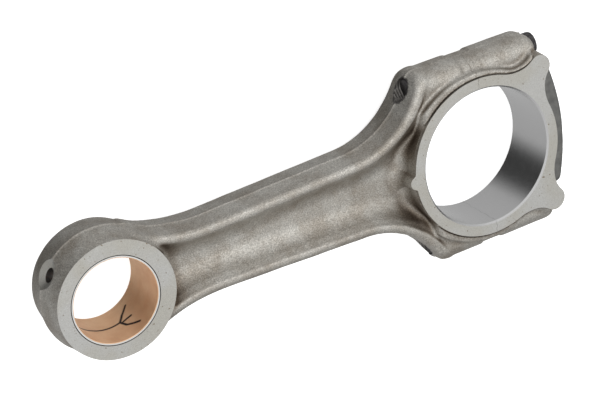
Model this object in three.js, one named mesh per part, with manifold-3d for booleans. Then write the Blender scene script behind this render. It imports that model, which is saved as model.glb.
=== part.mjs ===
// Fracture-split connecting rod for a heavy diesel engine, lying flat: +X runs from the small end (piston pin)
// to the big end (crankpin), both bores point along +Z, and the bolts lie along X. Millimetres.
import * as THREE from 'three';
import { mergeVertices } from 'three/addons/utils/BufferGeometryUtils.js';
import Module from 'manifold-3d';

const wasm = await Module();
wasm.setup();

// ---- driving dimensions ----
const centreDistance = 220;      // pin axis to crankpin axis
const endWidth = 34.5;           // width of both ends along the bores
const pieceGap = 0.3;            // clearance between the two halves of the split and under the bolt heads
const roundSegments = 72;        // facets of the large round surfaces

const pinBore = 45;              // bush bore, for the piston pin
const bushWall = 1.05;
const bushGap = 0.2;             // radial clearance between the bush and its housing
const bushChamfer = 0.6;
const smallEndFace = 62.6;       // diameter of the machined side face
const smallEndFaceOffset = 0.8;  // the forging's face sits this far towards the beam
const smallEndBulge = 2.1;       // how far the parting line stands out beyond the face's edge
const oilHole = 7;
const oilSpot = 15;              // diameter of the countersink around the oil hole
const oilSpotDepth = 2.2;
const oilHoleAngle = 145;        // degrees round the pin axis from +X
const bushOilHole = 5;

const crankBore = 77;            // bare parent bore of the big end
const boreChamfer = 0.9;
const ringWall = 6.6;            // machined thrust face, from bore to outer edge
const collarWidth = 2.4;         // forged collar around the thrust face
const collarStep = 1.05;         // how far the collar lies below the thrust face
const nibRadius = 3.8;           // rounded locating nib on the thrust face

const beamHeight = 27;           // over the flanges, along Z
const webThickness = 7;
const flangeWidth = 6.6;
const beamWidthSmall = 39.8;     // over the flanges at the narrowest place
const beamWidthBig = 45.2;       // over the flanges where the flare starts
const narrowPlace = 58;          // narrowest place, from the pin axis
const flareStart = 79;           // start of the flare, from the crankpin axis
const flareRadius = 48;
const neckRadius = 90;           // blend from the beam to the small end
const flangeRound = 4;           // rounding of the flanges' outer edges
const pocketRound = 3.5;         // fillet at the bottom of the beam's recess

const boltSize = 12;
const boltWall = 2;              // material between the crank bore and each bolt
const bossWall = 3.5;            // material outside each bolt
const bossCorner = 9;            // plan radius of the boss's shoulder corner
const bossEnd = 8.5;             // how far the boss runs past the bolt head's seat
const bossEndRound = 6.5;        // plan radius of the boss's far corner
const boltSeat = 33.5;           // bolt head seat, from the crankpin axis
const boltTipInset = 3;          // how far the bolt's tip stays inside the shoulder
const boltFlange = 18;
const boltFlangeThickness = 2.6;
const boltHead = 14;             // across the points of the twelve-point head
const boltHeadLength = 9.5;
const boltHeadPoints = 12;
const headRoom = 0.4;            // radial room around the bolt's flange
const splitBand = 11;            // width of the relief band along the split
const splitBandDepth = 0.8;

const spineThickness = 9.9;      // from the thrust face's edge to the back of the cap's spine
const spineRadius = 114;
const spineHalfSpan = 35;
const spineHeight = 18;
const lobeRadius = 6.6;          // rounded ears of the cap's thrust face
const lobeOffset = 9.35;         // ear centre beyond the thrust face's edge, on the diagonal

// ---- worked out from the dimensions above ----
const halfWidth = endWidth / 2;
const halfBeam = beamHeight / 2;
const housingRadius = pinBore / 2 + bushWall + bushGap;
const crankRadius = crankBore / 2;
const ringRadius = crankRadius + ringWall;
const boltOffset = crankRadius + boltWall + boltSize / 2;
const bossSide = boltOffset + boltSize / 2 + bossWall;
const seatX = centreDistance + boltSeat;
const flareX = centreDistance - flareStart;
const flareTurn = Math.acos(1 - (boltOffset - beamWidthBig / 2) / flareRadius);
const shoulderX = flareX + flareRadius * Math.sin(flareTurn);
const bossEndX = seatX + bossEnd;
const lobeReach = (ringRadius + lobeOffset) / Math.SQRT2;
const farAway = 200;

// ---- solids ----
function toManifold(geometry) {
  const bare = geometry.index ? geometry.toNonIndexed() : geometry.clone();
  bare.deleteAttribute('normal');
  bare.deleteAttribute('uv');
  const merged = mergeVertices(bare, 1e-4);
  return new wasm.Manifold(new wasm.Mesh({
    numProp: 3,
    vertProperties: new Float32Array(merged.attributes.position.array),
    triVerts: new Uint32Array(merged.index.array),
  }));
}

function fromManifold(solid) {
  const mesh = solid.getMesh();
  const geometry = new THREE.BufferGeometry();
  geometry.setAttribute('position', new THREE.BufferAttribute(mesh.vertProperties, 3));
  geometry.setIndex(new THREE.BufferAttribute(mesh.triVerts, 1));
  geometry.computeVertexNormals();
  return geometry;
}

// A closed (radius, height) profile turned about an axis along Z through (x, y).
function turnedZ(profile, x, y, segments = roundSegments) {
  const points = profile.map(([radius, height]) => new THREE.Vector2(radius, height));
  const geometry = new THREE.LatheGeometry(points, segments);
  geometry.rotateX(Math.PI / 2);
  geometry.translate(x, y, 0);
  return toManifold(geometry);
}

// A closed (radius, x) profile turned about an axis along X at height zero.
function turnedX(profile, y, segments = 48) {
  const points = profile.map(([radius, x]) => new THREE.Vector2(radius, x));
  const geometry = new THREE.LatheGeometry(points, segments);
  geometry.rotateZ(-Math.PI / 2);
  geometry.translate(0, y, 0);
  return toManifold(geometry);
}

function discZ(radius, halfHeight, x, y, segments = roundSegments) {
  return turnedZ([[0, -halfHeight], [radius, -halfHeight], [radius, halfHeight], [0, halfHeight]], x, y, segments);
}

function discX(radius, fromX, toX, y, segments = 48) {
  return turnedX([[0, fromX], [radius, fromX], [radius, toX], [0, toX]], y, segments);
}

// A plan outline as a plate, level about Z = 0, whose edges are rounded inwards by `round`.
function plate(outline, halfHeight, round = 0) {
  const geometry = new THREE.ExtrudeGeometry(outline, {
    depth: 2 * (halfHeight - round),
    bevelEnabled: round > 0,
    bevelThickness: round,
    bevelSize: round,
    bevelOffset: -round,
    bevelSegments: 2,
    curveSegments: 12,
  });
  geometry.translate(0, 0, round - halfHeight);
  return toManifold(geometry);
}

function box(fromX, toX, halfY, halfZ) {
  const geometry = new THREE.BoxGeometry(toX - fromX, 2 * halfY, 2 * halfZ);
  geometry.translate((fromX + toX) / 2, 0, 0);
  return toManifold(geometry);
}

function mirrorY(points) {
  return points.map(({ x, y }) => new THREE.Vector2(x, -y)).reverse();
}

// A closed outline through the points, without the repeats where one stretch ends and the next begins.
function closedOutline(points) {
  const apart = points.filter((point, i) => point.distanceTo(points[(i + 1) % points.length]) > 0.05);
  return new THREE.Shape(apart);
}

// A closed outline from its +Y half, whose first and last points may lie off the centre line.
function symmetricOutline(half) {
  return closedOutline([...half, ...mirrorY(half)].reverse());
}

// ---- outlines, seen from above, +Y half ----
// Flank of the beam, moved inwards by `inset`, up to the shoulder where the bolt comes out.
function flank(inset, turn) {
  const path = new THREE.Path();
  const neckTurn = Math.PI * 0.14;
  path.absarc(narrowPlace, beamWidthSmall / 2 + neckRadius, neckRadius + inset,
    -Math.PI / 2 - neckTurn, -Math.PI / 2, false);
  path.absarc(flareX, beamWidthBig / 2 + flareRadius, flareRadius + inset,
    -Math.PI / 2, -Math.PI / 2 + turn, false);
  return path.getPoints(6);
}

function shoulderCorner() {
  const rise = bossCorner * (1 - Math.cos(flareTurn));
  const run = (bossSide - rise - boltOffset) / Math.tan(flareTurn);
  const centreX = shoulderX + run + bossCorner * Math.sin(flareTurn);
  const path = new THREE.Path();
  path.absarc(centreX, bossSide - bossCorner, bossCorner, Math.PI / 2 + flareTurn, Math.PI / 2, true);
  return path.getPoints(3);
}

function endCorner() {
  const path = new THREE.Path();
  path.absarc(bossEndX - bossEndRound, bossSide - bossEndRound, bossEndRound, Math.PI / 2, 0, true);
  return path.getPoints(3);
}

function bodyOutline() {
  return symmetricOutline([
    new THREE.Vector2(smallEndFace / 6, smallEndFace / 4),
    ...flank(0, flareTurn),
    ...shoulderCorner(),
    ...endCorner(),
    new THREE.Vector2(bossEndX, boltOffset - boltFlange / 2 - headRoom - 2),
    new THREE.Vector2(centreDistance + crankRadius / 2, crankRadius / 2),
  ]);
}

function recessOutline() {
  return symmetricOutline([
    new THREE.Vector2(smallEndFace / 6, smallEndFace / 6),
    ...flank(flangeWidth, flareTurn * 0.75),
    new THREE.Vector2(centreDistance, crankRadius / 2),
  ]);
}

function lobeOutline(side) {
  const path = new THREE.Path();
  const earX = centreDistance + lobeReach;
  const earStart = Math.PI * 2 / 3;
  path.moveTo(centreDistance + ringRadius * Math.cos(1.1), ringRadius * Math.sin(1.1));
  path.quadraticCurveTo(earX - 9, lobeReach + 1.5,
    earX + lobeRadius * Math.cos(earStart), lobeReach + lobeRadius * Math.sin(earStart));
  path.absarc(earX, lobeReach, lobeRadius, earStart, -Math.PI / 9, true);
  path.quadraticCurveTo(earX + 2.5, lobeReach - 10,
    centreDistance + ringRadius * Math.cos(0.42), ringRadius * Math.sin(0.42));
  path.lineTo(centreDistance + crankRadius * 0.9, crankRadius * 0.4);
  const points = path.getPoints(5);
  return closedOutline(side > 0 ? points.reverse() : mirrorY(points).reverse());
}

function spineOutline() {
  const halfAngle = Math.asin(spineHalfSpan / spineRadius);
  const centreX = centreDistance + ringRadius + spineThickness - spineRadius;
  const path = new THREE.Path();
  path.moveTo(centreDistance + crankRadius / 2, -spineHalfSpan);
  path.absarc(centreX, 0, spineRadius, -halfAngle, halfAngle, false);
  path.lineTo(centreDistance + crankRadius / 2, spineHalfSpan);
  return closedOutline(path.getPoints(6));
}

// ---- forging: one blank for the rod and its cap, machined and then split at the crankpin axis ----
function smallEndDrum() {
  const edge = smallEndFace / 2;
  return turnedZ([
    [0, -halfWidth], [edge, -halfWidth], [edge + smallEndBulge, -0.3], [edge + smallEndBulge, 0.3],
    [edge, halfWidth], [0, halfWidth],
  ], smallEndFaceOffset, 0);
}

function bigEndRing() {
  const collar = discZ(ringRadius + collarWidth, halfWidth - collarStep, centreDistance, 0);
  const face = discZ(ringRadius, halfWidth, centreDistance, 0);
  const nib = discZ(nibRadius, halfWidth, centreDistance - ringRadius + 0.4, 0, 24);
  return collar.add(face).add(nib);
}

function recess(side) {
  const floor = webThickness / 2;
  const cutter = plate(recessOutline(), halfBeam + pocketRound - floor, pocketRound);
  return cutter.translate([0, 0, side * (halfBeam + pocketRound)]);
}

function chamferedBore(radius, chamfer, x) {
  const over = 1;
  return turnedZ([
    [0, -halfWidth - over], [radius + chamfer + over, -halfWidth - over], [radius, chamfer - halfWidth],
    [radius, halfWidth - chamfer], [radius + chamfer + over, halfWidth + over], [0, halfWidth + over],
  ], x, 0);
}

function boltPassage(y) {
  const thread = discX(boltSize / 2 + pieceGap, flareX, seatX + 1, y);
  const headPocket = discX(boltFlange / 2 + headRoom, seatX, centreDistance + farAway, y);
  return thread.add(headPocket);
}

// Shallow band along the split on the outside of one boss.
function splitRelief(side) {
  const geometry = new THREE.BoxGeometry(splitBand, bossCorner, endWidth);
  geometry.translate(centreDistance, side * (bossSide - splitBandDepth + bossCorner / 2), 0);
  return toManifold(geometry);
}

function oilPassage() {
  const surface = smallEndFace / 2 + smallEndBulge;
  const spotFloor = surface - oilSpotDepth;
  const drill = turnedX([
    [0, pinBore / 4], [oilHole / 2, pinBore / 4], [oilHole / 2, spotFloor - 1.5],
    [oilSpot / 2, spotFloor + 1.2], [oilSpot / 2, surface + 4], [0, surface + 4],
  ], 0, 32);
  return drill.rotate([0, 0, oilHoleAngle]);
}

function forging() {
  let blank = plate(bodyOutline(), halfBeam, flangeRound);
  blank = blank.subtract(splitRelief(1)).subtract(splitRelief(-1));
  blank = blank.subtract(recess(1)).subtract(recess(-1));
  blank = blank.add(plate(spineOutline(), spineHeight / 2));
  blank = blank.add(smallEndDrum()).add(bigEndRing());
  blank = blank.add(plate(lobeOutline(1), halfWidth)).add(plate(lobeOutline(-1), halfWidth));
  blank = blank.subtract(discZ(housingRadius, halfWidth + 1, 0, 0));
  blank = blank.subtract(chamferedBore(crankRadius, boreChamfer, centreDistance));
  blank = blank.subtract(boltPassage(boltOffset)).subtract(boltPassage(-boltOffset));
  return blank.subtract(oilPassage());
}

function bush() {
  const bore = pinBore / 2;
  const outer = bore + bushWall;
  const feed = discX(bushOilHole / 2, bore / 2, housingRadius + 1, 0, 24).rotate([0, 0, oilHoleAngle]);
  const sleeve = turnedZ([
    [bore + bushChamfer, -halfWidth], [outer, -halfWidth], [outer, halfWidth], [bore + bushChamfer, halfWidth],
    [bore, halfWidth - bushChamfer], [bore, bushChamfer - halfWidth], [bore + bushChamfer, -halfWidth],
  ], 0, 0);
  return sleeve.subtract(feed);
}

// Flanged twelve-point bolt along X, its head at the cap's seat and its tip just inside the shoulder.
function capBolt(y) {
  const radius = boltSize / 2;
  const tipX = shoulderX + boltTipInset;
  const underHead = seatX + pieceGap;
  const flangeTop = underHead + boltFlangeThickness;
  const tipChamfer = 1.2;
  const shank = turnedX([
    [0, tipX], [radius - tipChamfer, tipX], [radius, tipX + tipChamfer], [radius, underHead],
    [boltFlange / 2, underHead], [boltFlange / 2, flangeTop - 1], [boltHead / 2 + 0.5, flangeTop], [0, flangeTop],
  ], y, 36);
  const star = [];
  for (let i = 0; i < 2 * boltHeadPoints; i += 1) {
    const angle = (i * Math.PI) / boltHeadPoints;
    const reach = (boltHead / 2) * (i % 2 ? 0.89 : 1);
    star.push(new THREE.Vector2(reach * Math.cos(angle), reach * Math.sin(angle)));
  }
  const headGeometry = new THREE.ExtrudeGeometry(new THREE.Shape(star), {
    depth: boltHeadLength + 0.5,
    bevelEnabled: false,
  });
  headGeometry.rotateY(Math.PI / 2);
  headGeometry.translate(flangeTop - 0.5, y, 0);
  return shank.add(toManifold(headGeometry));
}

// ---- materials ----
const forgedSteel = new THREE.MeshStandardMaterial({ color: 0x8a837c, roughness: 0.6, metalness: 0.85 });
const bronze = new THREE.MeshStandardMaterial({ color: 0xb07a4c, roughness: 0.35, metalness: 0.9 });
const blackSteel = new THREE.MeshStandardMaterial({ color: 0x2c2b2d, roughness: 0.5, metalness: 0.7 });

// ---- assembly ----
const assembly = new THREE.Group();
const connectingRod = new THREE.Group();
connectingRod.add(assembly);

function addPiece(name, solid, material) {
  const piece = new THREE.Mesh(fromManifold(solid), material);
  piece.name = name;
  assembly.add(piece);
}

const blank = forging();
const splitLow = centreDistance - pieceGap / 2;
const splitHigh = centreDistance + pieceGap / 2;
addPiece('rod_body', blank.intersect(box(-farAway, splitLow, farAway, farAway)), forgedSteel);
addPiece('bearing_cap', blank.intersect(box(splitHigh, centreDistance + farAway, farAway, farAway)), forgedSteel);
addPiece('small_end_bush', bush(), bronze);
addPiece('cap_bolt_left', capBolt(boltOffset), blackSteel);
addPiece('cap_bolt_right', capBolt(-boltOffset), blackSteel);

// The origin is the middle of the bounding box's bottom face, so the rod lies on Z = 0.
const extent = new THREE.Box3().setFromObject(assembly);
const middle = extent.getCenter(new THREE.Vector3());
assembly.position.set(-middle.x, -middle.y, -extent.min.z);
connectingRod.updateMatrixWorld(true);

export default connectingRod;
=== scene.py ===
"""Fracture-split connecting rod lying flat: a drop-forged rod and cap with machined faces and bores,
two flanged twelve-point bolts and a steel-backed bronze bush.

Shapes are worked out in millimetres in a working frame: origin on the piston-pin axis at mid-thickness,
+X towards the crankpin. place() carries them to the shared frame in metres.
"""
import math

import bmesh
import bpy
import numpy as np
from mathutils import Matrix, Vector


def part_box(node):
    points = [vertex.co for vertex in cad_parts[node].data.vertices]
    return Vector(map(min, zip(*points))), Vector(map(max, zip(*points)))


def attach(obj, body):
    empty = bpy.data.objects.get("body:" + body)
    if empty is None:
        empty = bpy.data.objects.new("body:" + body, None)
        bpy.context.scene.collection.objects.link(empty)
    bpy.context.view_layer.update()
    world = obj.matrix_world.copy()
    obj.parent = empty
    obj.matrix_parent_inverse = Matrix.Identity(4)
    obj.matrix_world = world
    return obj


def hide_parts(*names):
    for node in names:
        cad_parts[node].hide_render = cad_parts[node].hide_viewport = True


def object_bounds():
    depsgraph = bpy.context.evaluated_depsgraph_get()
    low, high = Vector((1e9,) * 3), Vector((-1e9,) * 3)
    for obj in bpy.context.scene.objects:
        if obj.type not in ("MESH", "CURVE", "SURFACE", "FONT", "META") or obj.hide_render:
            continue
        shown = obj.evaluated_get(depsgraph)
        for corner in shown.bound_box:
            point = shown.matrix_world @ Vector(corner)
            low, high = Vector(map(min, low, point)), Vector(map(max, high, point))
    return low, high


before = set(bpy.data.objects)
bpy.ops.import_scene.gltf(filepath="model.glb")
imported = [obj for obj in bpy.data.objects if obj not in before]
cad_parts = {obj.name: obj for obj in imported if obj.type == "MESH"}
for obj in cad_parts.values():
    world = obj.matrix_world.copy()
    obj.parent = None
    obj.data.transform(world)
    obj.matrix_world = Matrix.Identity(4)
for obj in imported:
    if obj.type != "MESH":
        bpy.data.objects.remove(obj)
cad_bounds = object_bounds()

MM = 0.001

# ---- places and sizes taken from the CAD nodes, in millimetres ----
rod_low, rod_high = (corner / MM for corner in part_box("rod_body"))
cap_low, cap_high = (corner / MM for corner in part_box("bearing_cap"))
bush_low, bush_high = (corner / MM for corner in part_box("small_end_bush"))
bolt_low, bolt_high = (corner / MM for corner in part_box("cap_bolt_left"))

PIN_X = (bush_low.x + bush_high.x) / 2
CRANK_X = (rod_high.x + cap_low.x) / 2
MID_Z = (rod_low.z + rod_high.z) / 2
CENTRES = CRANK_X - PIN_X
HALF_WIDTH = rod_high.z - MID_Z
BUSH_OUTER = (bush_high.y - bush_low.y) / 2
BOLT_Y = (bolt_low.y + bolt_high.y) / 2
BOLT_TIP = bolt_low.x - PIN_X
BOLT_END = bolt_high.x - PIN_X
BOSS_SIDE = rod_high.y
CAP_BACK = cap_high.x - PIN_X

# ---- forging ----
PITCH = 0.85  # spacing in plan of the grid that the forged skin is drawn on
LEVEL_PITCH = 0.7  # its spacing in height
FINE_HALF = 1.2  # half height of the finer levels at the parting line
FINE_PITCH = 0.3
OVERCUT = 2  # how far the forged ends stand past the ground faces
UNEVEN = 0.12  # as-forged waviness of the skin
FLASH_HEIGHT = 0.45
FLASH_HALF = 0.7
# beam
BEAM_HALF = 13.4  # half thickness at the flanges
BEAM_SIDE_SMALL = 19.7  # half width at the neck
BEAM_SIDE_BIG = 22.6  # half width where the flare starts
BEAM_DRAFT = math.radians(5)
NARROW_X = 58
NECK_RADIUS = 90
FLARE_X = CENTRES - 79
FLARE_RADIUS = 48
FLARE_TURN = math.degrees(math.acos(1 - (BOLT_Y - BEAM_SIDE_BIG) / FLARE_RADIUS))
WEB_HALF = 3.5  # half thickness on the centre line
FLANGE_WIDTH = 7
FLANGE_ROUND = 2.7
RECESS_DRAFT = math.radians(20)
RECESS_FILLET = 8
VALLEY_START = 16  # the recess floor rises from here outwards
VALLEY_END = 54
VALLEY_RISE = 16.5
# bolt bosses
SHOULDER_ROUND = 9
BOLT_SEAT = CENTRES + 33.5
BOSS_END = BOLT_SEAT + 8.5
END_ROUND = 6.5
BOSS_HALF = 12.2  # half thickness
BOSS_ROUND = 9.4
BOSS_INSET = 0.5
RIB_WIDTH = 6.4
RIB_ROUND = 1
RELIEF_START = CENTRES - 5.5  # the shallow band along the split
RELIEF_END = CENTRES + 6.8
RELIEF_DEPTH = 0.9
# small end
DRUM_X = 0.8  # the eye is forged slightly off the pin's axis
DRUM_FACE = 31.8  # its radius at the ground faces
DRUM_DRAFT = math.radians(7)
DRUM_SURFACE = DRUM_FACE + HALF_WIDTH * math.tan(DRUM_DRAFT)  # its radius at mid-thickness
# big end: thrust ring, its nib, the cap's ears, the collar under them and the cap's spine
RING_FACE = 45.1
RING_DRAFT = math.radians(3)
NIB_X = CENTRES - 44.7
NIB_Y = 0.4
NIB_RADIUS = 3.8
EAR_X = CENTRES + 38.8
EAR_Y = 39.4
EAR_LENGTH = 18  # along X and along Y
EAR_RADIUS = 6.5
EAR_BLEND = 12
COLLAR_X = CENTRES - 2.6
COLLAR_RADIUS = 47.7
COLLAR_HALF = 16.3
COLLAR_RIM = 1.7  # how far it stands out round the thrust face
COLLAR_RISE = (CENTRES - 44, CENTRES - 32)
COLLAR_FALL = (CENTRES + 35, CENTRES + 42)
SPINE_RADIUS = 114
SPINE_SPAN = 35
SPINE_HALF = 9

# ---- machining, with bores and holes as radii ----
CRANK_BORE = 38.5
CRANK_CHAMFER = 0.9
HOUSING = 23.9
HOUSING_CHAMFER = 0.15
GROOVE_WIDTH = 0.7
GROOVE_DEPTH = 2.2
SPLIT_GAP = 0.1
SPLIT_ROUGH = 0.7
OIL_ANGLE = math.radians(145)
OIL_START = 10
OIL_HOLE = 3.9
OIL_SPOT = 14  # reach of the countersink's cone past the hole
OIL_SPOT_DEPTH = 3.4
OIL_SPOT_SLOPE = 0.45

# ---- bolts, as radii but for the head, which is across flats ----
SPOT_FACE = 8
SEAT_CLEARANCE = 0.02
BOLT_FLANGE = 7.8
FLANGE_THICKNESS = 2.6
BOLT_HEAD = 11.6
HEAD_CORNER = 1.09  # corner to flat
THREAD_MAJOR = 6
THREAD_DEPTH = 0.85
THREAD_PITCH = 1.5
THREAD_STEP = 0.25
THREAD_LENGTH = 20
THREAD_CLEARANCE = 0.12
SHANK = 5.38

# ---- bush ----
LINING_BORE = BUSH_OUTER - 1.05
STEEL_BACK = 0.75
LINING_CHAMFER = 0.2
BUSH_INSET = 0.12  # the bush's ends lie this far below the ground faces
FEED_HOLE = 2.5

# ---- studio ----
SKY = ((0.0, 0.12), (0.04, 0.18), (0.09, 0.56), (0.3, 0.46), (0.5, 0.58), (0.75, 0.78), (1.0, 1.06))
DARK_PATCH = (-0.46, 0.32, -0.826)
BRIGHT_SIDE = (0.35, 0.93, -0.1)
SHADED_SIDE = (0.37, -0.86, 0.35)
CAMERA_AIM = (-0.00635, 0.00708, 0)  # metres from the middle of the CAD model's box
CAMERA_DISTANCE = 1.00847
CAMERA_AZIMUTH = math.radians(131.32)
CAMERA_ELEVATION = math.radians(55.68)
CAMERA_ROLL = math.radians(-123.13)
CAMERA_LENS = 116.41


def place(points):
    """Working-frame millimetres to shared-frame metres."""
    return (np.asarray(points, float) + (PIN_X, 0, MID_Z)) * MM


def unplaced(points):
    """The reverse of place()."""
    return points / MM - (PIN_X, 0, MID_Z)


def read_vectors(elements, name):
    """One vector of a mesh per row, such as its vertices' places."""
    flat = np.empty(len(elements) * 3)
    elements.foreach_get(name, flat)
    return flat.reshape(-1, 3)


# ---------------------------------------------------------------- meshes
def make_object(name, points, faces):
    mesh = bpy.data.meshes.new(name)
    mesh.from_pydata(place(points).tolist(), [], [list(map(int, face)) for face in faces])
    mesh.validate()
    piece = bpy.data.objects.new(name, mesh)
    bpy.context.scene.collection.objects.link(piece)
    return piece


def make_quads(name, points, quads):
    """The same from arrays, for a large mesh of quads."""
    mesh = bpy.data.meshes.new(name)
    mesh.vertices.add(len(points))
    mesh.vertices.foreach_set("co", place(points).ravel())
    mesh.loops.add(quads.size)
    mesh.loops.foreach_set("vertex_index", quads.ravel().astype(np.int32))
    mesh.polygons.add(len(quads))
    mesh.polygons.foreach_set("loop_start", np.arange(0, quads.size, 4, dtype=np.int32))
    mesh.update(calc_edges=True)
    piece = bpy.data.objects.new(name, mesh)
    bpy.context.scene.collection.objects.link(piece)
    return piece


def loft(name, rings, wrap=False):
    """A closed body through rings of equal length; its ends are capped, or with wrap joined to each other."""
    count = len(rings[0])
    points = [point for ring in rings for point in ring]
    steps = len(rings) if wrap else len(rings) - 1
    faces = []
    for i in range(steps):
        a, b = i * count, (i + 1) % len(rings) * count
        faces += [(a + j, a + (j + 1) % count, b + (j + 1) % count, b + j) for j in range(count)]
    if not wrap:
        last = (len(rings) - 1) * count
        faces.append(tuple(reversed(range(count))))
        faces.append(tuple(range(last, last + count)))
    piece = make_object(name, points, faces)
    face_outwards(piece)
    return piece


def face_outwards(piece):
    work = bmesh.new()
    work.from_mesh(piece.data)
    bmesh.ops.recalc_face_normals(work, faces=work.faces)
    work.to_mesh(piece.data)
    work.free()


def full_turn(segments):
    return [math.tau * i / segments for i in range(segments)]


def turned_z(name, profile, x=0.0, segments=160, wrap=False):
    """A (radius, z) profile turned about an axis along Z at x."""
    turns = full_turn(segments)
    return loft(name, [[(x + r * math.cos(a), r * math.sin(a), z) for a in turns] for r, z in profile], wrap)


def ring_about_x(x, y, radius, turns):
    """One ring about an axis along X at height zero; radius is a number or a function of the angle."""
    radii = [radius(a) for a in turns] if callable(radius) else [radius] * len(turns)
    return [(x, y + r * math.cos(a), r * math.sin(a)) for r, a in zip(radii, turns)]


def turned_x(name, profile, y=0.0, segments=96):
    """A (radius, x) profile turned about an axis along X at height zero."""
    return loft(name, [ring_about_x(x, y, r, full_turn(segments)) for r, x in profile])


def combine(piece, tool, operation):
    """Takes tool away from piece (DIFFERENCE) or keeps what they share (INTERSECT), and removes tool."""
    step = piece.modifiers.new("cut", "BOOLEAN")
    step.object = tool
    step.operation = operation
    step.solver = "MANIFOLD"
    shaped = bpy.data.meshes.new_from_object(piece.evaluated_get(bpy.context.evaluated_depsgraph_get()))
    shaped.materials.clear()
    piece.modifiers.clear()
    piece.data = shaped
    bpy.data.objects.remove(tool)


def copy_of(piece, name):
    twin = bpy.data.objects.new(name, piece.data.copy())
    bpy.context.scene.collection.objects.link(twin)
    return twin


# ---------------------------------------------------------------- distances
def union(a, b, r):
    """Distance to two joined solids, with a fillet of radius r where they meet."""
    return np.maximum(r, np.minimum(a, b)) - np.hypot(np.maximum(r - a, 0), np.maximum(r - b, 0))


def shared(a, b, r):
    """Distance to what two solids share, with its edge rounded to radius r."""
    return np.minimum(-r, np.maximum(a, b)) + np.hypot(np.maximum(r + a, 0), np.maximum(r + b, 0))


def smooth_step(low, high, value):
    t = np.clip((value - low) / (high - low), 0, 1)
    return t * t * (3 - 2 * t)


def arc(x, y, radius, start, end, count):
    """Points on an arc, with angles in degrees."""
    turns = np.radians(np.linspace(start, end, count))
    return [(x + radius * math.cos(a), y + radius * math.sin(a)) for a in turns]


def plan_distance(outline, px, py):
    """Signed distance in plan from a closed outline, negative inside."""
    nearest = np.full(px.shape, np.inf)
    inside = np.zeros(px.shape, bool)
    for (ax, ay), (bx, by) in zip(outline, outline[1:] + outline[:1]):
        ex, ey = bx - ax, by - ay
        wx, wy = px - ax, py - ay
        t = np.clip((wx * ex + wy * ey) / max(ex * ex + ey * ey, 1e-12), 0, 1)
        nearest = np.minimum(nearest, (wx - ex * t) ** 2 + (wy - ey * t) ** 2)
        if ay != by:
            inside ^= ((ay > py) != (by > py)) & (wx < wy * ex / ey)
    return np.where(inside, -1, 1) * np.sqrt(nearest)


def capsule_distance(px, py, start, end, radius):
    """Signed distance in plan from a stadium shape between two points, negative inside."""
    ex, ey = end[0] - start[0], end[1] - start[1]
    wx, wy = px - start[0], py - start[1]
    t = np.clip((wx * ex + wy * ey) / (ex * ex + ey * ey), 0, 1)
    return np.hypot(wx - ex * t, wy - ey * t) - radius


# ---------------------------------------------------------------- outlines, +Y half mirrored to the other
def flank(inset, turn):
    """The beam's side from neck to flare, moved inwards by inset; the flare turns by so many degrees."""
    neck = arc(NARROW_X, BEAM_SIDE_SMALL + NECK_RADIUS, NECK_RADIUS + inset, -116, -90, 24)
    flare = arc(FLARE_X, BEAM_SIDE_BIG + FLARE_RADIUS, FLARE_RADIUS + inset, -90, turn - 90, 30)
    return neck + flare


def both_halves(half):
    """Closes an outline whose points so far are on the +Y side."""
    return half + [(x, -y) for x, y in reversed(half)]


def body_outline():
    """The beam and its bolt bosses; it starts and ends inside the two ends' solids."""
    turn = math.radians(FLARE_TURN)
    shoulder_x = FLARE_X + FLARE_RADIUS * math.sin(turn)
    rise = SHOULDER_ROUND * (1 - math.cos(turn))
    corner_x = shoulder_x + (BOSS_SIDE - rise - BOLT_Y) / math.tan(turn) + SHOULDER_ROUND * math.sin(turn)
    corner = arc(corner_x, BOSS_SIDE - SHOULDER_ROUND, SHOULDER_ROUND, 90 + FLARE_TURN, 90, 12)
    end = arc(BOSS_END - END_ROUND, BOSS_SIDE - END_ROUND, END_ROUND, 90, 0, 12)
    inner = [(BOSS_END, BOLT_Y - 13), (CENTRES + 20, 18)]
    return both_halves([(8, 12), *flank(0, FLARE_TURN), *corner, *end, *inner])


def rib_outline():
    """Like the body's outline, but the shoulder runs on straight, so that only the flank bounds it."""
    turn = math.radians(FLARE_TURN)
    edge = flank(0, FLARE_TURN)
    far = (edge[-1][0] + 50 * math.cos(turn), edge[-1][1] + 50 * math.sin(turn))
    return both_halves([(8, 12), *edge, far, (CENTRES + 90, far[1])])


def recess_outline():
    """The hollow between the flanges; it runs on under the big end."""
    return both_halves([(8, 10), *flank(FLANGE_WIDTH, 0.95 * FLARE_TURN), (CENTRES - 18, 44), (CENTRES, 44)])


# ---------------------------------------------------------------- forged skin
def waviness(x, y, z):
    """Slow, shallow unevenness, as a forging has."""
    swell = np.sin(x / 9.1 + 1.3) * np.sin(y / 7.3 + 0.4) + np.sin(x / 4.7 - y / 6.1) * np.sin(z / 5.3 + 2)
    return UNEVEN * (swell + 0.6 * np.sin(x / 2.9 + y / 3.7) * np.sin(z / 3.1 + x / 8.3)) / 2


def flash_line(z):
    """Height of the trimmed flash along the parting line."""
    return FLASH_HEIGHT * np.exp(-((z / FLASH_HALF) ** 2))


def machined_face(px, py):
    """Plan distance to the ground faces of the big end: the ring, its nib and the cap's two ears."""
    plan = np.hypot(px - CENTRES, py) - RING_FACE
    for side in (1, -1):
        root = (EAR_X - EAR_LENGTH, side * (EAR_Y - EAR_LENGTH))
        ear = capsule_distance(px, py, root, (EAR_X, side * EAR_Y), EAR_RADIUS)
        plan = union(plan, ear, EAR_BLEND)
    return union(plan, np.hypot(px - NIB_X, py - NIB_Y) - NIB_RADIUS, 1)


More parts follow.
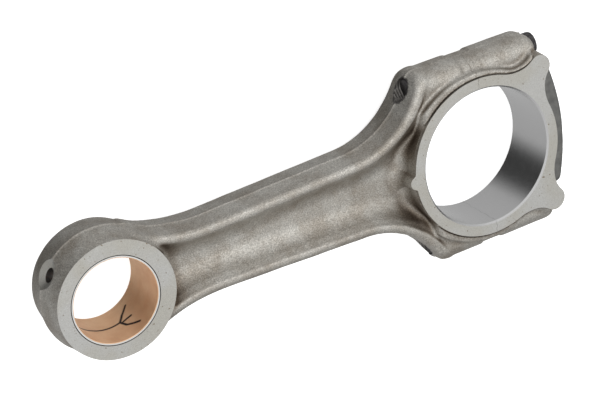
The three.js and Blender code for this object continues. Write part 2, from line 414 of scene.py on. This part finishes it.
def forged_beam(px, py, z):
    """Distance to the I-section beam with its bolt bosses and the relief band along the split."""
    height = np.abs(z)
    side = (plan_distance(body_outline(), px, py) + height * math.tan(BEAM_DRAFT)) * math.cos(BEAM_DRAFT)
    boss = shared(np.abs(py) - BOSS_SIDE + BOSS_INSET, height - BOSS_HALF, BOSS_ROUND - BOSS_INSET)
    rib_half = BEAM_HALF - (BEAM_HALF - BOSS_HALF) * smooth_step(BOLT_Y - 8, BOLT_Y + 6, np.abs(py))
    rib = shared(np.abs(py) - BOSS_SIDE, height - rib_half, BOSS_ROUND)
    rib = shared(rib, -plan_distance(rib_outline(), px, py) - RIB_WIDTH, RIB_ROUND)
    relief = RELIEF_DEPTH * smooth_step(RELIEF_START - 1, RELIEF_START + 1, px)
    relief = relief * (1 - smooth_step(RELIEF_END - 0.8, RELIEF_END + 0.8, px))
    outside = shared(side - flash_line(z), union(boss, rib, 2), FLANGE_ROUND) + relief
    slope = (BEAM_HALF - height) * math.tan(RECESS_DRAFT)
    wall = -(plan_distance(recess_outline(), px, py) + slope) * math.cos(RECESS_DRAFT)
    floor = WEB_HALF + VALLEY_RISE * smooth_step(VALLEY_START, VALLEY_END, np.abs(py))
    return shared(outside, union(wall, height - floor, RECESS_FILLET), FLANGE_ROUND)


def forged_blank(px, py, z):
    """Distance to the whole forging before machining."""
    height = np.abs(z)
    blank = forged_beam(px, py, z)

    back = np.maximum(np.hypot(px - CAP_BACK + SPINE_RADIUS, py) - SPINE_RADIUS, CENTRES + 20 - px)
    span = shared(back, np.abs(py) - SPINE_SPAN, 3)
    blank = union(blank, shared(span, height - SPINE_HALF, 2), 2.5)

    rise = smooth_step(*COLLAR_RISE, px) * (1 - smooth_step(*COLLAR_FALL, px))
    face = machined_face(px, py)
    collar = union(np.hypot(px - COLLAR_X, py) - COLLAR_RADIUS, face - COLLAR_RIM, 3)
    blank = union(blank, shared(collar, height - COLLAR_HALF * rise, 0.9), 2.2)

    # The fillet at the ring's foot is wider towards the beam.
    ring = (face + (height - HALF_WIDTH) * math.tan(RING_DRAFT)) * math.cos(RING_DRAFT)
    root = 0.8 + 5.2 * (1 - smooth_step(CENTRES - 42, CENTRES - 30, px))
    blank = union(blank, shared(ring, height - HALF_WIDTH - OVERCUT, 0.5), root)

    drum = np.hypot(px - DRUM_X, py) - DRUM_FACE - (HALF_WIDTH - height) * math.tan(DRUM_DRAFT)
    drum = shared(drum * math.cos(DRUM_DRAFT) - flash_line(z), height - HALF_WIDTH - OVERCUT, 0.5)
    return union(blank, drum, 3.5) + waviness(px, py, z)


def surface_net(values, xs, ys, zs):
    """The zero surface of values on a grid: one vertex per crossed cell, one quad per crossed grid edge."""
    inside = values < 0
    shape = tuple(n - 1 for n in values.shape)
    total = np.zeros(shape + (3,), np.float32)
    count = np.zeros(shape, np.float32)
    axes = (xs, ys, zs)
    crossings = []
    for axis in range(3):
        low = [slice(None)] * 3
        high = [slice(None)] * 3
        low[axis], high[axis] = slice(None, -1), slice(1, None)
        low, high = tuple(low), tuple(high)
        cells = np.argwhere(inside[low] != inside[high])
        a = values[low][tuple(cells.T)]
        b = values[high][tuple(cells.T)]
        step = a / (a - b)
        point = np.stack([axes[k][cells[:, k]] for k in range(3)], 1)
        start = axes[axis][cells[:, axis]]
        point[:, axis] = start + step * (axes[axis][cells[:, axis] + 1] - start)
        u, v = (axis + 1) % 3, (axis + 2) % 3
        inner = (cells[:, u] > 0) & (cells[:, v] > 0) & (cells[:, u] < shape[u]) & (cells[:, v] < shape[v])
        for du in (0, 1):
            for dv in (0, 1):
                cell = cells[inner].copy()
                cell[:, u] -= du
                cell[:, v] -= dv
                np.add.at(total, tuple(cell.T), point[inner])
                np.add.at(count, tuple(cell.T), 1)
        crossings.append((axis, cells[inner], inside[low][tuple(cells[inner].T)]))
    used = count > 0
    index = np.full(shape, -1, np.int64)
    index[used] = np.arange(used.sum())
    points = total[used] / count[used][:, None]
    quads = []
    for axis, cells, solid in crossings:
        u, v = (axis + 1) % 3, (axis + 2) % 3
        corner = []
        for du, dv in ((1, 1), (0, 1), (0, 0), (1, 0)):
            cell = cells.copy()
            cell[:, u] -= du
            cell[:, v] -= dv
            corner.append(index[tuple(cell.T)])
        quad = np.stack(corner, 1)
        quads.append(np.where(solid[:, None], quad, quad[:, ::-1]))
    return points, np.concatenate(quads)


def grid_lines(low, high, step):
    return np.linspace(low, high, int(round((high - low) / step)) + 1).astype(np.float32)


def skin(name, low, high):
    """The forged blank's surface between two plan corners."""
    xs = grid_lines(low[0], high[0], PITCH)
    ys = grid_lines(low[1], high[1], PITCH)
    fine = grid_lines(-FINE_HALF, FINE_HALF, FINE_PITCH)
    coarse = grid_lines(FINE_HALF, HALF_WIDTH + OVERCUT + 1, LEVEL_PITCH)[1:]
    zs = np.concatenate([-coarse[::-1], fine, coarse])
    px, py = (plane[:, :, None] for plane in np.meshgrid(xs, ys, indexing="ij"))
    values = forged_blank(px, py, zs[None, None, :]).astype(np.float32)
    for axis in range(3):
        np.moveaxis(values, axis, 0)[[0, -1]] = PITCH
    points, quads = surface_net(values, xs, ys, zs)
    return make_quads(name, points, quads)


# ---------------------------------------------------------------- machining
def bored(name, radius, chamfer, x):
    """Tool for a bore along Z with a chamfer at both faces."""
    flare, top, wall = radius + chamfer + 1, HALF_WIDTH + 1, HALF_WIDTH - chamfer
    return turned_z(name, [(flare, -top), (radius, -wall), (radius, wall), (flare, top)], x)


def block(name, low, high):
    corners = ((low[0], low[1]), (high[0], low[1]), (high[0], high[1]), (low[0], high[1]))
    return loft(name, [[(x, y, z) for x, y in corners] for z in (low[2], high[2])])


def thread_radius(x, turn, major):
    """Radius of a V thread along X at an angle, with the given major radius."""
    rise = abs(((x - BOLT_TIP) / THREAD_PITCH - turn / math.tau) % 1 * 2 - 1)
    return major - THREAD_DEPTH * (1 - rise) ** 0.8


def threaded_tool(y):
    """Tapped hole at the bolt's tip, broken out through the shoulder, then a plain hole to the seat."""
    turns = full_turn(72)
    wall = THREAD_MAJOR + THREAD_CLEARANCE
    start, end = BOLT_TIP - 16, BOLT_TIP + THREAD_LENGTH + 2
    rings = []
    for x in np.arange(start, end, THREAD_STEP):
        rings.append(ring_about_x(x, y, lambda a: thread_radius(x, a, wall), turns))
    for x in (end, BOLT_SEAT + 1):
        rings.append(ring_about_x(x, y, wall, turns))
    return loft("tapped_hole", rings)


def face_edge(turns):
    """Radius of the thrust face's edge at each angle about the crankpin axis, found by halving."""
    low, high = np.full(turns.shape, CRANK_BORE), np.full(turns.shape, CRANK_BORE + 30)
    for _ in range(30):
        middle = (low + high) / 2
        inside = machined_face(CENTRES + middle * np.cos(turns), middle * np.sin(turns)) < 0
        low, high = np.where(inside, middle, low), np.where(inside, high, middle)
    return low


def face_groove(side):
    """Tool that runs round the edge of a thrust face and parts it from the forged collar."""
    turns = np.radians(np.arange(0, 360, 0.5))
    top, bottom = HALF_WIDTH + 1, HALF_WIDTH - GROOVE_DEPTH
    section = ((0, top), (0, bottom), (GROOVE_WIDTH, bottom), (GROOVE_WIDTH + 0.2, top))
    rings = []
    for edge, a in zip(face_edge(turns), turns):
        rings.append([
            (CENTRES + (edge + out) * math.cos(a), (edge + out) * math.sin(a), side * z) for out, z in section
        ])
    return loft("face_groove", rings, wrap=True)


def spot_face(y):
    """Tool for the flat that a bolt's flange sits on."""
    end = BOLT_SEAT + 40
    profile = [(0.01, BOLT_SEAT), (SPOT_FACE, BOLT_SEAT), (SPOT_FACE, end), (0.01, end)]
    return turned_x("spot_face", profile, y)


def turn_to_oil_hole(tool):
    """Turns a tool that points along +X about the piston-pin axis, to the oil hole's direction."""
    axis = Matrix.Translation(place((0, 0, 0)).tolist())
    tool.data.transform(axis @ Matrix.Rotation(OIL_ANGLE, 4, "Z") @ axis.inverted())
    return tool


def oil_drill():
    """Tool for the oil hole and its countersink."""
    depth = DRUM_SURFACE - OIL_SPOT_DEPTH
    profile = [
        (0.01, OIL_START), (OIL_HOLE, OIL_START), (OIL_HOLE, depth),
        (OIL_HOLE + OIL_SPOT, depth + OIL_SPOT * OIL_SPOT_SLOPE), (0.01, DRUM_SURFACE + 6),
    ]
    return turn_to_oil_hole(turned_x("oil_drill", profile, segments=64))


def fracture_side(name, sign):
    """A block on one side of the split, whose inner face has the grain of a cracked surface."""
    ys = np.linspace(-BOSS_SIDE - 5, BOSS_SIDE + 5, 190)
    zs = np.linspace(-HALF_WIDTH - 3, HALF_WIDTH + 3, 64)
    gy, gz = np.meshgrid(ys, zs, indexing="ij")
    coarse = np.sin(gy * 1.9 + 2 * np.sin(gz * 0.7)) + 0.7 * np.sin(gy * 0.6 - gz * 1.1)
    grain = coarse + 0.5 * np.sin(gz * 2.7 + gy * 3.1)
    face = CENTRES + SPLIT_ROUGH * grain / 2 + sign * SPLIT_GAP / 2
    back = np.full_like(face, CENTRES + sign * (CENTRES + 60))
    count = gy.size
    points = np.concatenate([np.stack([f.ravel(), gy.ravel(), gz.ravel()], 1) for f in (face, back)])
    index = np.arange(count).reshape(gy.shape)
    front = np.stack([index[:-1, :-1], index[1:, :-1], index[1:, 1:], index[:-1, 1:]], -1).reshape(-1, 4)
    edge = np.concatenate([index[:, 0], index[-1, 1:], index[-2::-1, -1], index[0, -2:0:-1]])
    following = np.roll(edge, -1)
    rim = np.stack([edge, edge + count, following + count, following], 1)
    piece = make_quads(name, points, np.concatenate([front, front[:, ::-1] + count, rim]))
    face_outwards(piece)
    return piece


blank = skin("rod_forging", (DRUM_X - DRUM_FACE - 5, -BOSS_SIDE - 4), (CAP_BACK + 4, BOSS_SIDE + 4))

# Ground faces, bores, bolt holes with their spot faces, and the oil hole.
combine(blank, block("grind", (-90, -90, -HALF_WIDTH), (CENTRES + 90, 90, HALF_WIDTH)), "INTERSECT")
for side in (1, -1):
    combine(blank, face_groove(side), "DIFFERENCE")
combine(blank, bored("crank_bore", CRANK_BORE, CRANK_CHAMFER, CENTRES), "DIFFERENCE")
combine(blank, bored("pin_bore", HOUSING, HOUSING_CHAMFER, 0), "DIFFERENCE")
for y in (BOLT_Y, -BOLT_Y):
    combine(blank, threaded_tool(y), "DIFFERENCE")
    combine(blank, spot_face(y), "DIFFERENCE")
combine(blank, oil_drill(), "DIFFERENCE")

# The split parts the blank into rod and cap.
rod_body = blank
rod_body.name = "rod_body_forging"
bearing_cap = copy_of(blank, "bearing_cap_forging")
combine(rod_body, fracture_side("rod_side", -1), "INTERSECT")
combine(bearing_cap, fracture_side("cap_side", 1), "INTERSECT")


# ---------------------------------------------------------------- bush: steel back, bronze lining
def sleeve(name, inner, outer, half, chamfer, levels, segments):
    """A tube along Z with a chamfered bore and its wall divided into levels."""
    wall = [(inner, z) for z in np.linspace(chamfer - half, half - chamfer, levels)]
    profile = [(inner + chamfer, -half), *wall, (inner + chamfer, half), (outer, half), (outer, -half)]
    return turned_z(name, profile, segments=segments, wrap=True)


def feed_hole():
    """Tool for the hole through the bush, in line with the oil hole."""
    profile = [(0.01, OIL_START), (FEED_HOLE, OIL_START), (FEED_HOLE, 40), (0.01, 40)]
    return turn_to_oil_hole(turned_x("feed_hole", profile, segments=48))


bush_half = HALF_WIDTH - BUSH_INSET
lining_outer = BUSH_OUTER - STEEL_BACK
bush_back = sleeve("bush_steel_back", lining_outer, BUSH_OUTER, bush_half, 0.05, 2, 180)
bush_lining = sleeve(
    "bush_bronze_lining", LINING_BORE, lining_outer - 0.01, bush_half - 0.05, LINING_CHAMFER, 90, 360,
)
for piece in (bush_back, bush_lining):
    combine(piece, feed_hole(), "DIFFERENCE")


# ---------------------------------------------------------------- bolts
def twelve_point(turn):
    """Radius of the twelve-point head at an angle: two hexagons, half a side apart."""
    sixth = math.tau / 6
    return max(BOLT_HEAD / 2 / math.cos((turn + shift) % sixth - sixth / 2) for shift in (0, sixth / 2))


def cap_bolt(name, y):
    """A bolt from its tip through the thread, plain shank and flange to the dished head."""
    turns = full_turn(144)
    seat = BOLT_SEAT + SEAT_CLEARANCE
    top = seat + FLANGE_THICKNESS
    rings = [ring_about_x(BOLT_TIP, y, r, turns) for r in (0.01, THREAD_MAJOR - 2.2)]
    for x in np.arange(BOLT_TIP + 0.1, BOLT_TIP + THREAD_LENGTH, THREAD_STEP):
        lead = THREAD_MAJOR - 0.9 * max(0, 1.6 - (x - BOLT_TIP))
        rings.append(ring_about_x(x, y, lambda a: min(thread_radius(x, a, THREAD_MAJOR), lead), turns))
    body = [
        (BOLT_TIP + THREAD_LENGTH + 0.5, SHANK), (seat - 0.6, SHANK), (seat, THREAD_MAJOR + 0.08),
        (seat, BOLT_FLANGE - 0.3), (seat + 0.3, BOLT_FLANGE),
        (top - 1.5, BOLT_FLANGE), (top - 1.1, BOLT_FLANGE - 0.3),
    ]
    rings += [ring_about_x(x, y, r, turns) for x, r in body]
    for x, chamfer in ((top, 0), (BOLT_END - 0.9, 0), (BOLT_END - 0.3, 0.3), (BOLT_END, 0.8)):
        corner = (BOLT_HEAD / 2 - chamfer) * HEAD_CORNER
        rings.append(ring_about_x(x, y, lambda a: min(twelve_point(a), corner), turns))
    dish = [(BOLT_END, 4), (BOLT_END - 0.7, 3.5), (BOLT_END - 0.7, 0.01)]
    rings += [ring_about_x(x, y, r, turns) for x, r in dish]
    return loft(name, rings)


bolt_left = cap_bolt("cap_bolt_left_visual", BOLT_Y)
bolt_right = cap_bolt("cap_bolt_right_visual", -BOLT_Y)


# ---------------------------------------------------------------- marker stroke on the lining
MARKER_STROKES = (  # chains of turn angle in degrees and height
    ((221, 1.5), (242, 0.3), (258, 0), (273, -0.4), (283, -0.8)),
    ((283, -0.8), (292, -5.5), (304, -9.6)),
    ((283, -0.8), (287, 4.5), (294, 7.3), (302, 10.2)),
    ((287, 0.3), (293, 0.1), (299.5, 0.6)),
)
MARKER_HALF = 0.7
MARKER_BLUR = 0.4


def paint_marker(piece):
    """Stores the hand-drawn branching pen stroke on the lining as a value per vertex."""
    x, y, z = unplaced(read_vectors(piece.data.vertices, "co")).T
    along = (np.degrees(np.arctan2(y, x)) % 360) * math.radians(1) * LINING_BORE
    ink = np.full(len(z), 9.0)
    for stroke in MARKER_STROKES:
        for ends in zip(stroke, stroke[1:]):
            start, end = ((math.radians(angle) * LINING_BORE, height) for angle, height in ends)
            ink = np.minimum(ink, capsule_distance(along, z, start, end, MARKER_HALF))
    layer = piece.data.attributes.new("ink", "FLOAT", "POINT")
    layer.data.foreach_set("value", np.clip(0.5 - ink / MARKER_BLUR, 0, 1).astype(np.float32))


paint_marker(bush_lining)


# ---------------------------------------------------------------- materials
def new_material(name, color, metallic, roughness):
    material = bpy.data.materials.new(name)
    material.use_nodes = True
    shader = material.node_tree.nodes["Principled BSDF"]
    shader.inputs["Base Color"].default_value = (*color, 1)
    shader.inputs["Metallic"].default_value = metallic
    shader.inputs["Roughness"].default_value = roughness
    return material, material.node_tree, shader


def node(tree, kind, **values):
    made = tree.nodes.new(kind)
    for key, value in values.items():
        setattr(made, key, value)
    return made


def noise(tree, scale, detail=3.0, roughness=0.55):
    position = node(tree, "ShaderNodeTexCoord")
    texture = node(tree, "ShaderNodeTexNoise")
    texture.inputs["Scale"].default_value = scale
    texture.inputs["Detail"].default_value = detail
    texture.inputs["Roughness"].default_value = roughness
    tree.links.new(position.outputs["Object"], texture.inputs["Vector"])
    return texture.outputs["Fac"]


def ramp(tree, source, stops):
    """Colour ramp from (position, (r, g, b)) stops."""
    made = node(tree, "ShaderNodeValToRGB")
    elements = made.color_ramp.elements
    while len(elements) < len(stops):
        elements.new(0.5)
    for element, (position, color) in zip(elements, stops):
        element.position = position
        element.color = (*color, 1)
    tree.links.new(source, made.inputs["Fac"])
    return made.outputs["Color"]


def blend_color(tree, factor, first, second, mode="MIX"):
    """Mixes two colours, each a socket or (r, g, b)."""
    made = node(tree, "ShaderNodeMix", data_type="RGBA", blend_type=mode)
    for socket, value in ((made.inputs[0], factor), (made.inputs[6], first), (made.inputs[7], second)):
        if isinstance(value, bpy.types.NodeSocket):
            tree.links.new(value, socket)
        elif isinstance(value, tuple):
            socket.default_value = (*value, 1)
        else:
            socket.default_value = value
    return made.outputs[2]


def spread(tree, source, low, high):
    """Maps a noise value from 0.3..0.7 to low..high."""
    made = node(tree, "ShaderNodeMapRange")
    made.inputs["From Min"].default_value = 0.3
    made.inputs["From Max"].default_value = 0.7
    made.inputs["To Min"].default_value = low
    made.inputs["To Max"].default_value = high
    tree.links.new(source, made.inputs["Value"])
    return made.outputs["Result"]


def add_bump(tree, shader, source, strength, distance):
    made = node(tree, "ShaderNodeBump")
    made.inputs["Strength"].default_value = strength
    made.inputs["Distance"].default_value = distance
    tree.links.new(source, made.inputs["Height"])
    tree.links.new(made.outputs["Normal"], shader.inputs["Normal"])


def forged_steel():
    """Grainy grey skin, stained in patches, with painted shade and a brown grime tint in its hollows."""
    material, tree, shader = new_material("forged_steel", (0.4, 0.38, 0.36), 0.85, 0.5)
    grain = ramp(tree, noise(tree, 1500, 4, 0.7), [
        (0.3, (0.24, 0.23, 0.215)), (0.5, (0.44, 0.425, 0.395)), (0.7, (0.68, 0.66, 0.62)),
    ])
    patch = ramp(tree, noise(tree, 55, 5, 0.65), [(0.36, (0.72, 0.68, 0.64)), (0.6, (1, 1, 1))])
    openness = node(tree, "ShaderNodeAttribute", attribute_name="openness")
    # Painted shade with a brown grime tint: the less open the forging above a vertex, the darker its colour.
    hollow_shade_and_grime = ramp(tree, openness.outputs["Fac"], [
        (0.25, (0.24, 0.19, 0.15)), (0.55, (0.6, 0.55, 0.5)), (0.85, (1.05, 1.05, 1.04)),
    ])
    stained = blend_color(tree, 1.0, grain, patch, "MULTIPLY")
    tree.links.new(blend_color(tree, 1.0, stained, hollow_shade_and_grime, "MULTIPLY"), shader.inputs["Base Color"])
    tree.links.new(spread(tree, noise(tree, 700), 0.42, 0.6), shader.inputs["Roughness"])
    add_bump(tree, shader, noise(tree, 1100, 5, 0.65), 0.5, 0.0003)
    return material


def ground_steel():
    """Pale matt face with a few dark specks and a faint uneven tint."""
    material, tree, shader = new_material("ground_steel", (0.6, 0.6, 0.58), 0.9, 0.4)
    base = ramp(tree, noise(tree, 1600, 4, 0.7), [(0.3, (0.44, 0.435, 0.415)), (0.7, (0.6, 0.6, 0.58))])
    specks = ramp(tree, noise(tree, 520, 2, 0.5), [
        (0.0, (1, 1, 1)), (0.66, (1, 1, 1)), (0.74, (0.5, 0.42, 0.34)),
    ])
    tint = ramp(tree, noise(tree, 38, 3), [(0.38, (0.94, 0.92, 0.87)), (0.58, (1, 1, 1))])
    speckled = blend_color(tree, 1.0, base, specks, "MULTIPLY")
    tree.links.new(blend_color(tree, 1.0, speckled, tint, "MULTIPLY"), shader.inputs["Base Color"])
    add_bump(tree, shader, noise(tree, 900, 3), 0.12, 0.0001)
    return material


def plain_steel(name, color, metallic, roughness, scale, low, high):
    """Steel of one colour, whose roughness varies from low to high with noise of the given scale."""
    material, tree, shader = new_material(name, color, metallic, roughness)
    tree.links.new(spread(tree, noise(tree, scale), low, high), shader.inputs["Roughness"])
    return material


def shaded_back_steel():
    """Smooth skin of the cap's back, painted darker as the shade and dark reflection it lies in."""
    material, tree, shader = new_material("shaded_back_steel", (0.2, 0.2, 0.195), 0.85, 0.38)
    base = ramp(tree, noise(tree, 260, 4), [(0.3, (0.13, 0.13, 0.125)), (0.7, (0.2, 0.2, 0.19))])
    tree.links.new(base, shader.inputs["Base Color"])
    return material


def bronze():
    """Satin bronze with the marker's ink on it."""
    material, tree, shader = new_material("bronze", (0.85, 0.5, 0.28), 0.7, 0.48)
    base = ramp(tree, noise(tree, 120, 3), [(0.3, (0.86, 0.55, 0.33)), (0.7, (0.97, 0.68, 0.44))])
    ink = node(tree, "ShaderNodeAttribute", attribute_name="ink")
    inked = blend_color(tree, ink.outputs["Fac"], base, (0.02, 0.015, 0.014))
    tree.links.new(inked, shader.inputs["Base Color"])
    return material


def black_oxide():
    material, tree, shader = new_material("black_oxide", (0.05, 0.048, 0.05), 0.7, 0.42)
    base = ramp(tree, noise(tree, 600, 4), [(0.35, (0.03, 0.028, 0.03)), (0.7, (0.09, 0.085, 0.085))])
    tree.links.new(base, shader.inputs["Base Color"])
    return material


def mark_openness(piece):
    """Stores how open the forging is above each vertex: 1 on an open face, less in a corner or hollow;
    forged_steel paints shade from it.
    """
    mesh = piece.data
    points = unplaced(read_vectors(mesh.vertices, "co"))
    normals = read_vectors(mesh.vertex_normals, "vector")
    openness = np.zeros(len(points))
    for reach in (4.0, 9.0, 16.0):
        x, y, z = (points + normals * reach).T
        openness += np.clip(forged_blank(x, y, z) / reach, 0, 1) / 3
    layer = mesh.attributes.new("openness", "FLOAT", "POINT")
    layer.data.foreach_set("value", openness.astype(np.float32))


def finish_forging(piece):
    """Gives each face of a machined forging the material of the cut that made it, by its place."""
    mesh = piece.data
    x, y, z = unplaced(read_vectors(mesh.polygons, "center")).T
    upright = np.abs(read_vectors(mesh.polygons, "normal")[:, 2])
    ground = (np.abs(z) > HALF_WIDTH - 0.02) & (upright > 0.9)
    crank = np.hypot(x - CENTRES, y) < CRANK_BORE + CRANK_CHAMFER + 0.05
    pin = np.hypot(x, y) < HOUSING + HOUSING_CHAMFER + 0.05
    from_bolt = np.hypot(np.abs(y) - BOLT_Y, z)
    spot = (from_bolt < SPOT_FACE + 0.05) & (x > BOLT_SEAT - 0.1)
    hole = (from_bolt < THREAD_MAJOR + 0.3) & (x > BOLT_TIP - THREAD_LENGTH)
    along = x * math.cos(OIL_ANGLE) + y * math.sin(OIL_ANGLE)
    from_oil = np.hypot(-x * math.sin(OIL_ANGLE) + y * math.cos(OIL_ANGLE), z)
    cone = DRUM_SURFACE - OIL_SPOT_DEPTH + OIL_SPOT_SLOPE * (np.maximum(from_oil, OIL_HOLE) - OIL_HOLE)
    oil = (along > OIL_START) & (from_oil < OIL_HOLE + 0.1)
    countersink = (along > OIL_START) & (from_oil < OIL_SPOT) & (np.abs(along - cone) < 0.1)
    # The cap's back takes the darker steel that paints its shade.
    spine = (np.abs(z) < SPINE_HALF + 0.5) & (x > CENTRES + 38) & (np.abs(y) < SPINE_SPAN + 1)
    index = np.select([ground | countersink, crank, spot | hole | oil | pin, spine], [1, 2, 3, 4], 0)
    mesh.polygons.foreach_set("material_index", index.astype(np.int32))


def smooth(piece):
    """Shades smooth, but keeps edges sharp that turn by more than 28 degrees."""
    piece.data.shade_smooth()
    piece.data.set_sharp_from_angle(angle=math.radians(28))


# In the order of the numbers that finish_forging gives.
steel = [
    forged_steel(), ground_steel(),
    plain_steel("honed_steel", (0.62, 0.62, 0.62), 1.0, 0.24, 300, 0.23, 0.26),
    # Dark base colour: painted shade inside the holes and on the spot faces under the bolt flanges.
    plain_steel("shaded_drilled_steel", (0.2, 0.19, 0.18), 0.9, 0.4, 500, 0.3, 0.5),
    shaded_back_steel(),
]
for piece in (rod_body, bearing_cap):
    for material in steel:
        piece.data.materials.append(material)
    finish_forging(piece)
    mark_openness(piece)
    smooth(piece)
bush_lining.data.materials.append(bronze())
bush_back.data.materials.append(plain_steel("bush_steel", (0.75, 0.74, 0.72), 1.0, 0.3, 400, 0.25, 0.4))
oxide = black_oxide()
for piece in (bolt_left, bolt_right):
    piece.data.materials.append(oxide)
for piece in (bush_lining, bush_back, bolt_left, bolt_right):
    smooth(piece)

for piece, node_name, slot in (
    (rod_body, "rod_body", "forged_steel"),
    (bearing_cap, "bearing_cap", "forged_steel"),
    (bush_lining, "small_end_bush", "bush_bronze"),
    (bolt_left, "cap_bolt_left", "bolt_steel"),
    (bolt_right, "cap_bolt_right", "bolt_steel"),
):
    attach(piece, "root")
    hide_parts(node_name)
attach(bush_back, "root")
for cad_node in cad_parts.values():
    cad_node.data.materials.clear()
    cad_node.data.materials.append(steel[0])


# ---------------------------------------------------------------- floor, light and camera
def add_floor():
    """Pale floor that the steel doesn't mirror."""
    floor = bpy.data.objects.new("floor", bpy.data.meshes.new("floor"))
    floor.data.from_pydata([(-20, -20, 0), (20, -20, 0), (20, 20, 0), (-20, 20, 0)], [], [(0, 1, 2, 3)])
    bpy.context.scene.collection.objects.link(floor)
    material, _, shader = new_material("pale_floor", (0.9, 0.9, 0.9), 0.0, 0.9)
    shader.inputs["Emission Color"].default_value = (1, 1, 1, 1)
    shader.inputs["Emission Strength"].default_value = 0.7
    floor.data.materials.append(material)
    floor.location.z = -0.0002
    floor.visible_glossy = False
    floor.visible_diffuse = False


def add_light(name, location, size, power):
    """Round soft light aimed at the origin."""
    data = bpy.data.lights.new(name, "AREA")
    data.shape = "DISK"
    data.size = size
    data.energy = power
    lamp = bpy.data.objects.new(name, data)
    lamp.location = location
    lamp.rotation_euler = (-Vector(location)).to_track_quat("-Z", "Y").to_euler()
    bpy.context.scene.collection.objects.link(lamp)


def add_camera():
    """Camera on a sphere about its aim, turned about its own axis by the roll."""
    aim = (Vector(cad_bounds[0]) + Vector(cad_bounds[1])) / 2 + Vector(CAMERA_AIM)
    level, rise = math.cos(CAMERA_ELEVATION), math.sin(CAMERA_ELEVATION)
    back = Vector((level * math.cos(CAMERA_AZIMUTH), level * math.sin(CAMERA_AZIMUTH), rise))
    level_up = (Vector((0, 0, 1)) - back * back.z).normalized()
    level_right = level_up.cross(back)
    up = level_up * math.cos(CAMERA_ROLL) + level_right * math.sin(CAMERA_ROLL)
    right = up.cross(back)
    camera = bpy.data.objects.new("camera", bpy.data.cameras.new("camera"))
    camera.data.sensor_width = 36
    camera.data.lens = CAMERA_LENS
    camera.data.clip_start = 0.01
    turned = Matrix((right, up, back)).transposed().to_4x4()
    turned.translation = aim + back * CAMERA_DISTANCE
    camera.matrix_world = turned
    bpy.context.scene.collection.objects.link(camera)
    bpy.context.scene.camera = camera


def toward(tree, direction, axis, stops):
    """Grey ramp over how closely a direction points along an axis, from (closeness, grey) stops."""
    dot = node(tree, "ShaderNodeVectorMath", operation="DOT_PRODUCT")
    dot.inputs[1].default_value = axis
    tree.links.new(direction, dot.inputs[0])
    return ramp(tree, dot.outputs["Value"], [(closeness, (grey,) * 3) for closeness, grey in stops])


def set_world():
    """Pale surroundings, brightest overhead, with a dark patch low down, a shaded side and a bright side."""
    world = bpy.data.worlds.new("studio")
    bpy.context.scene.world = world
    world.use_nodes = True
    tree = world.node_tree
    direction = node(tree, "ShaderNodeTexCoord").outputs["Generated"]
    split = node(tree, "ShaderNodeSeparateXYZ")
    tree.links.new(direction, split.inputs["Vector"])
    level = node(tree, "ShaderNodeMapRange")
    level.inputs["From Min"].default_value = -1
    tree.links.new(split.outputs["Z"], level.inputs["Value"])
    sky = ramp(tree, level.outputs["Result"], [(height, (grey,) * 3) for height, grey in SKY])
    patch = toward(tree, direction, DARK_PATCH, ((0.87, 1), (0.97, 0.08)))
    shade = toward(tree, direction, SHADED_SIDE, ((0.83, 1), (0.96, 0.4)))
    glow = toward(tree, direction, BRIGHT_SIDE, ((0.8, 0), (0.96, 0.4)))
    shaded = blend_color(tree, 1.0, blend_color(tree, 1.0, sky, patch, "MULTIPLY"), shade, "MULTIPLY")
    background = tree.nodes["Background"]
    tree.links.new(blend_color(tree, 1.0, shaded, glow, "ADD"), background.inputs["Color"])


add_floor()
add_light("key", (0.3, 0.5, 1.3), 1.0, 4)
set_world()
add_camera()
bpy.context.scene.view_settings.view_transform = "Standard"
